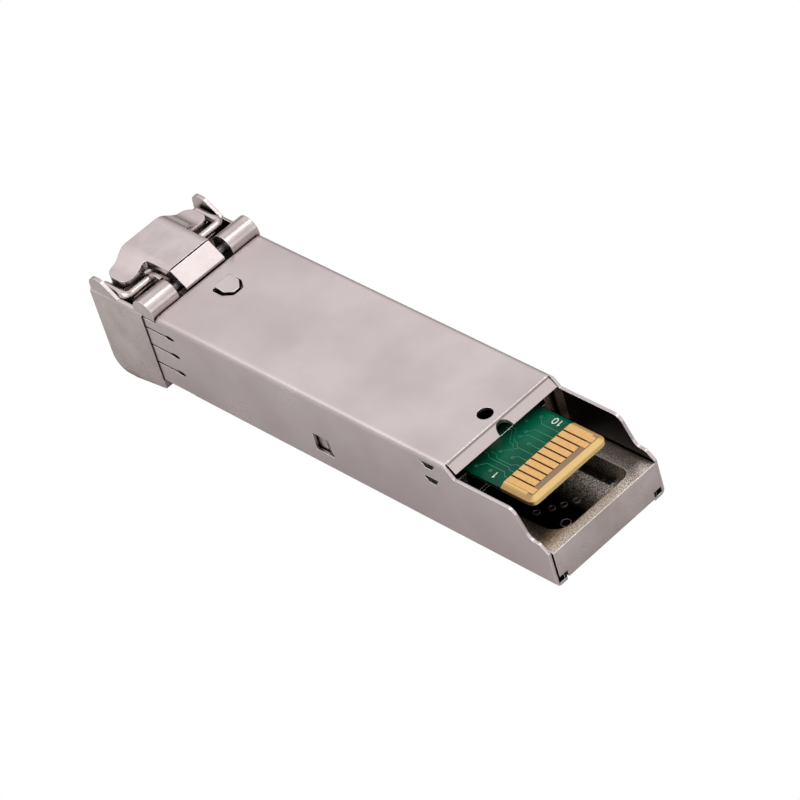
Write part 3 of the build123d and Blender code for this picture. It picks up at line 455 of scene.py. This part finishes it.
EVEN_FINISHES = {
    # Lacquer over copper, lighter than over bare laminate
    "mask_over_copper": dict(code="#237F62", other="#1B6E53", roughness=0.3),
    # Screen ink, chalky and matt
    "white_screen_ink": dict(code="#F2F4EE", other="#E2E6DE", roughness=0.5),
    # Hard gold plate, a smooth warm metal
    "hard_gold_plate": dict(code="#EDBE80", other="#E6B474", roughness=0.3, metallic=1.0, speck_mm=0.333, bump=0.02,
                            edge_mm=0.02),
    # Polished zirconia, white with a glassy surface
    "white_zirconia": dict(code="#F1EEE6", other="#E6E2D8", roughness=0.25, coat=0.3),
    # Polyimide film, amber and shiny
    "amber_polyimide_film": dict(code="#B5731F", other="#9C5F17", roughness=0.35, coat=0.3),
    # Moulded plastic, black with a fine texture from its mould
    "moulded_black_plastic": dict(code="#191919", other="#232323", roughness=0.5, speck_mm=0.111, bump=0.25),
    # Moulded epoxy packages, duller and finer
    "black_epoxy_package": dict(code="#1B1B1D", other="#26262A", roughness=0.55, speck_mm=0.0833, bump=0.25),
    # Filled silicone pad, soft and matt
    "soft_silicone_pad": dict(code="#7C93A3", other="#6D8495", roughness=0.8, speck_mm=0.2, bump=0.3),
    # Fired ceramic of capacitors
    "tan_ceramic": dict(code="#A9875C", other="#96764E", roughness=0.45),
    # Glassy film on resistors
    "black_resistor_film": dict(code="#17181A", other="#222327", roughness=0.35),
    # Zinc rubbed bright by the ejector pins
    "bright_zinc_casting": dict(code="#F4ECE8", other="#E4DAD6", roughness=0.3, metallic=1.0),
    # Pressed ferrite, grey and grainy
    "grey_ferrite": dict(code="#3A3A3D", other="#2D2D30", roughness=0.6, speck_mm=0.125, bump=0.3),
}
even = {name: even_finish(name, **look) for name, look in EVEN_FINISHES.items()}
print("even finishes:", len(even), "of", len(bpy.data.materials), "materials")

# %% [markdown]
# ## Finishes on the frame's solids
#
# Each solid of the frame is one real piece, and each gets the one finish that piece has.

# %% Which piece has which finish
FINISHES = {
    "base_casting": casting_metal, "cover": cover_metal, "latch_lever": lever_metal, "bail": wire_metal,
    "lever_pin": pin_metal_in_painted_shade, "latch_spring": pin_metal_in_painted_shade, "circuit_board": board,
    "optics_clamp": even["moulded_black_plastic"], "thermal_pad": even["soft_silicone_pad"],
    "capacitors": even["tan_ceramic"], "resistors": even["black_resistor_film"],
    "power_inductors": even["grey_ferrite"],
}
for side in ("transmitter", "receiver"):
    FINISHES.update({f"{side}_receptacle": barrel_metal, f"{side}_can": can_metal,
                     f"{side}_sleeve": even["white_zirconia"], f"{side}_fibre_stub": even["white_zirconia"],
                     f"{side}_flex": even["amber_polyimide_film"]})
FINISHES.update({f"{chip}_chip": even["black_epoxy_package"] for chip in ("driver", "amplifier", "controller")})
FINISHES.update({f"contacts_{face}": even["hard_gold_plate"] for face in ("top", "bottom")})
for name, solid in nodes.items():
    solid.data.materials.clear()
    solid.data.materials.append(FINISHES[name])
print("finished solids:", len(nodes))

# %% [markdown]
# ## Meshes for tracks, print and marks
#
# Copper tracks lie under the mask and lift it a little, so that light catches their edges. A bump could
# show them from afar, but not close up. Here they are real ribbons. A ribbon follows its corner points in
# the plane of the board and is mitred at each corner, and a via is a raised ring.

# %% Mesh pieces, ribbons and rings
BOARD_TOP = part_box("circuit_board")[1].z


def mesh_piece(name, verts, faces, material, slot):
    mesh = bpy.data.meshes.new(name)
    mesh.from_pydata(verts, [], faces)
    mesh.update()
    mesh.materials.append(material)
    piece = bpy.data.objects.new(name, mesh)
    bpy.context.scene.collection.objects.link(piece)
    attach(piece, "module")
    return piece


def ribbon(points, width, base, height):
    """A raised ribbon of the given width along points (x, y), mitred at its corners."""
    line = [Vector(p) for p in points]
    lefts, rights = [], []
    for i, here in enumerate(line):
        before = (here - line[i - 1]).normalized() if i else (line[1] - line[0]).normalized()
        after = (line[i + 1] - here).normalized() if i < len(line) - 1 else before
        along = (before + after).normalized()
        across = Vector((-along.y, along.x)) * (width / 2 / max(0.4, along.dot(after)))
        lefts.append(here + across)
        rights.append(here - across)
    verts = [(*p, base) for p in lefts + rights] + [(*p, base + height) for p in lefts + rights]
    n = len(line)
    faces = []
    for i in range(n - 1):
        faces.append((2 * n + i, 3 * n + i, 3 * n + i + 1, 2 * n + i + 1))
        faces.append((i, 2 * n + i, 2 * n + i + 1, i + 1))
        faces.append((n + i, n + i + 1, 3 * n + i + 1, 3 * n + i))
    faces.append((0, n, 3 * n, 2 * n))
    faces.append((n - 1, 3 * n - 1, 4 * n - 1, 2 * n - 1))
    return verts, faces


def ring(centre, outer, inner, base, height, sides=20):
    verts, faces = [], []
    for r, z in ((outer, base), (outer, base + height), (inner, base + height), (inner, base)):
        for k in range(sides):
            a = 2 * math.pi * k / sides
            verts.append((centre[0] + r * math.cos(a), centre[1] + r * math.sin(a), z))
    for row in range(3):
        for k in range(sides):
            m = (k + 1) % sides
            faces.append((row * sides + k, row * sides + m, (row + 1) * sides + m, (row + 1) * sides + k))
    return verts, faces


def joined(shapes):
    verts, faces = [], []
    for v, f in shapes:
        faces += [tuple(i + len(verts) for i in face) for face in f]
        verts += v
    return verts, faces


print("board top at z =", round(BOARD_TOP, 5))

# %% [markdown]
# ## Tracks and vias
#
# From each contact a track runs forward, and turns by 45 degrees to get round its neighbours, as board
# makers draw them. The corners are given as (station, y) in millimetres. Tracks and rings are sunk by
# 0.01 mm, so that no gap shows under them.

# %% Tracks and vias on the board
TRACK_WIDTH = 0.07 * MM
TRACK_HEIGHT = 0.03 * MM
VIA_OUTER, VIA_BORE, VIA_HEIGHT = 0.17 * MM, 0.08 * MM, 0.035 * MM
SUNK = 0.01 * MM
MASK_START = 7.0
CONTACT_YS = [(k - 4.5) * 0.8 for k in range(10)]
FROM_CONTACTS = [
    [(7.4, CONTACT_YS[0]), (7.8, -3.2), (9.9, -3.2), (10.5, -3.9)],
    [(7.6, CONTACT_YS[1]), (7.9, -2.6), (10.3, -2.6), (10.6, -2.3), (11.6, -2.3)],
    [(7.5, CONTACT_YS[2]), (7.9, -2.3), (9.6, -2.3), (9.9, -2.0), (11.6, -2.0)],
    [(8.1, CONTACT_YS[3]), (8.4, -1.5)],
    [(8.8, CONTACT_YS[4]), (9.6, -1.2), (9.9, -1.5)],
    [(8.3, CONTACT_YS[5])],
    [(9.2, CONTACT_YS[6]), (9.7, 0.7)],
    [(9.1, CONTACT_YS[7]), (9.7, 1.4)],
    [(9.2, CONTACT_YS[8]), (9.8, 3.4)],
]
TRACKS = [[(MASK_START, y), *corners] for y, corners in zip(CONTACT_YS, FROM_CONTACTS)] + [
    [(9.0, -0.9), (9.6, -0.3), (10.0, -0.3), (10.9, 0.9), (11.6, 0.9)],
    [(8.7, -0.7), (9.4, 0.0), (9.8, 0.0), (10.7, 1.2), (11.6, 1.2)],
]
VIAS = [(10.5, -3.95), (8.45, -1.55), (9.92, -1.58), (8.42, 0.42), (9.74, 0.68), (9.74, 1.38), (9.82, 3.42),
        (10.6, 2.4), (9.0, -3.7)]
shapes = [ribbon([(at(d), y * MM) for d, y in path], TRACK_WIDTH, BOARD_TOP - SUNK, TRACK_HEIGHT) for path in TRACKS]
shapes += [ring((at(d), y * MM), VIA_OUTER, VIA_BORE, BOARD_TOP - SUNK, VIA_HEIGHT) for d, y in VIAS]
mesh_piece("board_tracks", *joined(shapes), even["mask_over_copper"], "board_laminate")
print("tracks:", len(TRACKS), "vias:", len(VIAS))

# %% [markdown]
# ## Pin numbers
#
# The first and the last contact are numbered in white ink. A font would need a file and cost many faces.
# Screen print is a stroke of even width, so the digits are ribbons too, drawn on a grid one digit high.

# %% Numbers 1 and 10
INK_WIDTH = 0.08 * MM
INK_SUNK = 0.005 * MM
INK_HEIGHT = 0.02 * MM
DIGIT_MM = 0.65
DIGIT_STEP = 0.85
STROKES = {
    "0": [(0.0, 0.25), (0.0, 0.75), (0.2, 1.0), (0.4, 1.0), (0.6, 0.75), (0.6, 0.25), (0.4, 0.0), (0.2, 0.0),
          (0.0, 0.25)],
    "1": [(0.1, 0.8), (0.3, 1.0), (0.3, 0.0)],
}


def print_number(text, d, y):
    """Digits that read towards the nose, with their tops towards the near side."""
    made = []
    for k, letter in enumerate(text):
        points = [(at(d + (u + DIGIT_STEP * k) * DIGIT_MM), (y - v * DIGIT_MM) * MM) for u, v in STROKES[letter]]
        made.append(ribbon(points, INK_WIDTH, BOARD_TOP - INK_SUNK, INK_HEIGHT))
    return made


digits = print_number("1", 8.1, -3.55) + print_number("10", 7.65, 4.0)
mesh_piece("pin_numbers", *joined(digits), even["white_screen_ink"], "board_laminate")
print("digits:", len(digits))

# %% [markdown]
# ## Ejector marks
#
# Pins push a casting out of its die, and each leaves a small round mark. Five of them lie on the floor of
# the rear well, as thin rings rubbed bright.

# %% Marks on the casting's rear floor
WELL_FLOOR_MM = 2.0
RIM_MM = 0.1
MARK_HEIGHT = 0.06 * MM
MARKS = ((6.3, -2.3, 0.34), (5.5, -1.2, 0.34), (4.9, -0.35, 0.34), (4.3, 0.6, 0.34), (3.2, -1.9, 0.5))
rings = [ring((at(d), y * MM), radius * MM, (radius - RIM_MM) * MM, up(WELL_FLOOR_MM) - SUNK, MARK_HEIGHT, sides=32)
         for d, y, radius in MARKS]
mesh_piece("ejector_marks", *joined(rings), even["bright_zinc_casting"], "plated_casting")
print("ejector marks:", len(rings))

# %% [markdown]
# ## Bail
#
# The bail is one length of wire, bent round a mandrel into a loop with a crank in its rod. The solid bail
# has ball corners. A curve with a round bevel is the way to a bent wire: the same corners are kept, each is
# replaced by an arc, and Blender draws the wire's section along it.

# %% Route of the bail's wire
WIRE_RADIUS = 0.45 * MM
BEND_RADIUS = 0.5 * MM
ROD_D, FRONT_D, CRANK_D = 52.8, 56.25, 53.35
ROD_H, FOOT_H = 8.45, -0.45
ARM_Y, BAR_END_Y = 5.85, 0.15
CRANK_FOOT_Y, CRANK_Y = 2.55, 1.8


def mirrored_route():
    """Corners of the wire from one butt end of the cross bar round to the other."""
    half = [(FRONT_D, BAR_END_Y, FOOT_H), (FRONT_D, ARM_Y, FOOT_H), (FRONT_D, ARM_Y, ROD_H), (ROD_D, ARM_Y, ROD_H),
            (ROD_D, CRANK_FOOT_Y, ROD_H), (CRANK_D, CRANK_Y, ROD_H)]
    corners = half + [(d, -y, h) for d, y, h in reversed(half)]
    return [Vector((at(d), y * MM, up(h))) for d, y, h in corners]


def rounded(corners, radius, steps=8):
    """The route with each corner replaced by an arc."""
    line = [corners[0]]
    for before, corner, after in zip(corners, corners[1:], corners[2:]):
        into, out = (corner - before).normalized(), (after - corner).normalized()
        turn = into.angle(out)
        reach = radius * math.tan(turn / 2)
        centre = corner - into * reach + (out - into * into.dot(out)).normalized() * radius
        first = corner - into * reach - centre
        axis = into.cross(out)
        line += [centre + Matrix.Rotation(turn * k / steps, 3, axis) @ first for k in range(steps + 1)]
    return line + [corners[-1]]


route = rounded(mirrored_route(), BEND_RADIUS)
print("bail route points:", len(route))

# %% [markdown]
# ### Wire along the route
#
# The curve takes the solid bail's place and turns with it on the same hinge.

# %% The bent wire
wire = bpy.data.curves.new("bail_wire", "CURVE")
wire.dimensions, wire.bevel_depth, wire.bevel_resolution, wire.use_fill_caps = "3D", WIRE_RADIUS, 8, True
spline = wire.splines.new("POLY")
spline.points.add(len(route) - 1)
for point, place in zip(spline.points, route):
    point.co = (*place, 1)
wire.materials.append(wire_metal)
bail_wire = bpy.data.objects.new("bail_wire", wire)
bpy.context.scene.collection.objects.link(bail_wire)
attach(bail_wire, "bail")
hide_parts("bail")
print("wire diameter:", round(2 * WIRE_RADIUS / MM, 2), "mm")

# %% [markdown]
# ## Floor
#
# A product picture stands on white. If lamps made the floor white, they would also burn out the metal, so
# the floor is a matt grey for light and for reflections, and plain white only for the camera. It lies just
# under the module, so that the two don't share a plane.

# %% The floor
FLOOR_SIZE = 3.0
FLOOR_GAP = 0.02 * MM
WHITE = (1, 1, 1, 1)
bpy.ops.mesh.primitive_plane_add(size=FLOOR_SIZE, location=(0, 0, -FLOOR_GAP))
floor = bpy.context.object
floor.name = "floor"
floor_material, tree, shader = new_material("pale_floor")
shader.inputs["Base Color"].default_value = srgb("#C4C4C2")
shader.inputs["Roughness"].default_value = 0.9
seen = node(tree, "LightPath", give="Is Camera Ray")
white = node(tree, "Emission", {"Color": WHITE, "Strength": 1.0})
mix = node(tree, "MixShader", (seen, shader.outputs["BSDF"], white))
tree.links.new(mix, tree.nodes["Material Output"].inputs["Surface"])
floor.data.materials.append(floor_material)
print("floor:", FLOOR_SIZE, "m wide")

# %% [markdown]
# ## Room
#
# Plated metal shows little but what it mirrors. In an even white room it would look like paper, so this
# room is dark grey at the horizon, light at a steep angle, and a little darker straight above. The
# camera itself sees plain white instead of the room.

# %% The world
ROOM_STRENGTH = 1.25
ROOM_TONES = ((0.62, "#A29E9D"), (0.86, "#F2F0F0"))
world = bpy.data.worlds.new("studio")
bpy.context.scene.world = world
world.use_nodes = True
tree = world.node_tree
tree.nodes.clear()
direction = node(tree, "SeparateXYZ", [node(tree, "TexCoord", give="Generated")], give="Z")
sky = node(tree, "ValToRGB", [node(tree, "MapRange", (direction, -1, 1))], give=None)
stops = sky.color_ramp.elements
stops[0].position, stops[0].color = 0.5, srgb("#5A5655")
stops[1].position, stops[1].color = 1.0, srgb("#C8C5C5")
for position, tone in ROOM_TONES:
    stops.new(position).color = srgb(tone)
room = node(tree, "Background", {"Color": sky.outputs["Color"], "Strength": ROOM_STRENGTH})
backdrop = node(tree, "Background", {"Color": WHITE, "Strength": 1.0})
seen = node(tree, "LightPath", give="Is Camera Ray")
mix = node(tree, "MixShader", (seen, room, backdrop))
node(tree, "OutputWorld", {"Surface": mix}, give=None)
print("room tones:", len(stops))

# %% [markdown]
# ## Lamps
#
# Each flat face mirrors one patch of the room, so each lamp is a soft box set where one face looks: high
# for the roof, at the side for the flank, at the end for the rear, low for the nose, and two small ones
# for the edges and the lever's barrel. The boxes are large, so their highlights have soft borders.

# %% Soft boxes
def soft_box(name, place, target, width, depth, power):
    light = bpy.data.lights.new(name, "AREA")
    light.shape, light.size, light.size_y = "RECTANGLE", width, depth
    light.energy = power
    box = bpy.data.objects.new(name, light)
    box.location = place
    box.rotation_euler = (Vector(target) - Vector(place)).to_track_quat("-Z", "Y").to_euler()
    bpy.context.scene.collection.objects.link(box)


BOXES = {
    "high_box": ((-0.10, -0.28, 0.50), (0, 0, 0), 0.60, 0.50, 0.9),
    "side_box": ((0.10, -0.50, 0.22), (0, 0, 0.005), 0.60, 0.25, 0.38),
    "end_box": ((0.45, 0.12, 0.16), (0.02, 0, 0.005), 0.40, 0.20, 0.20),
    "low_box": ((-0.38, -0.45, 0.07), (0, 0, 0.005), 0.30, 0.12, 0.09),
    "edge_box": ((0.14, 0.21, 0.43), (0, 0, 0.008), 0.20, 0.20, 0.04),
    "barrel_box": ((0.05, 0.21, 0.45), (-0.022, 0, 0.01), 0.12, 0.12, 0.16),
}
for name, settings in BOXES.items():
    soft_box(name, *settings)
print("lamps:", len(BOXES))

# %% [markdown]
# ## Camera
#
# The picture was taken from a little above the rear left, with a long lens, so its parallel edges stay
# nearly parallel. The camera's place and directions come from fitting such a camera to the module's
# corners, and they are kept as the three directions of the picture: right, down and ahead.

# %% The camera
RIGHT = Vector((0.686067, 0.689890, -0.231008))
DOWN = Vector((0.344298, -0.587585, -0.732259))
AHEAD = Vector((-0.640914, 0.422843, -0.640650))
PLACE = Vector((0.248122, -0.161021, 0.249656))
lens = bpy.data.cameras.new("camera")
lens.lens, lens.sensor_width = 198.09, 36.0
lens.clip_start, lens.clip_end = 0.01, 10.0
camera = bpy.data.objects.new("camera", lens)
turn = Matrix((RIGHT, -DOWN, -AHEAD)).transposed().to_4x4()
camera.matrix_world = Matrix.Translation(PLACE) @ turn
bpy.context.scene.collection.objects.link(camera)
bpy.context.scene.camera = camera
bpy.context.scene.view_settings.view_transform = "Standard"
print("camera", round(PLACE.length, 3), "m from the module's foot")
